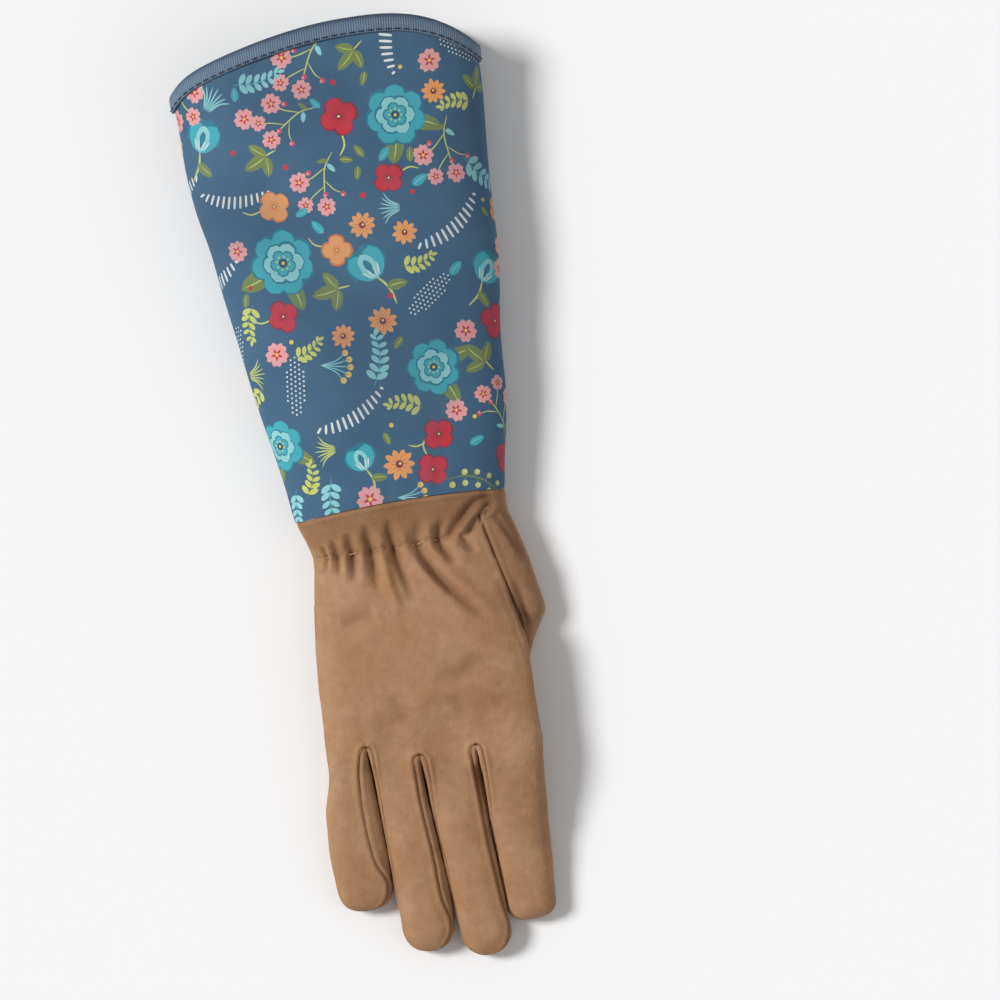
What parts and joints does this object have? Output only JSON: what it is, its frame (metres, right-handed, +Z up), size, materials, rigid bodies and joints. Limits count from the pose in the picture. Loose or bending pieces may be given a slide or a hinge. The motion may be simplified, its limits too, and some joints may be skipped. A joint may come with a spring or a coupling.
{
  "type": "pruning gauntlet",
  "caption": "Long rose pruning gauntlet for the right hand: tan leather glove with gusseted fingers and a gathered wrist, sewn to a tapered cloth cuff with a bound rim, lying palm down.",
  "frame": {"origin": "middle of the bounding box in plan, on the surface that the gauntlet lies on", "axes": "+Z up, out of the back of the hand; +Y along the arm from the fingertips to the rim of the cuff; +X to the thumb side"},
  "size_m": [0.1442, 0.4322, 0.0466],
  "materials": {
    "glove_leather": "suede",
    "patch_leather": "suede",
    "printed_cloth": "printed twill",
    "woven_tape": "ribbed tape"
  },
  "bodies": {
    "root": {"cuff_sleeve": "printed_cloth", "rim_binding": "woven_tape", "hand_back": "glove_leather", "hand_palm": "glove_leather", "gusset_little_ring": "glove_leather", "gusset_ring_middle": "glove_leather", "gusset_middle_index": "glove_leather", "thumb_outer": "glove_leather", "thumb_inner": "glove_leather", "palm_patch": "patch_leather"}
  },
  "joints": []
}
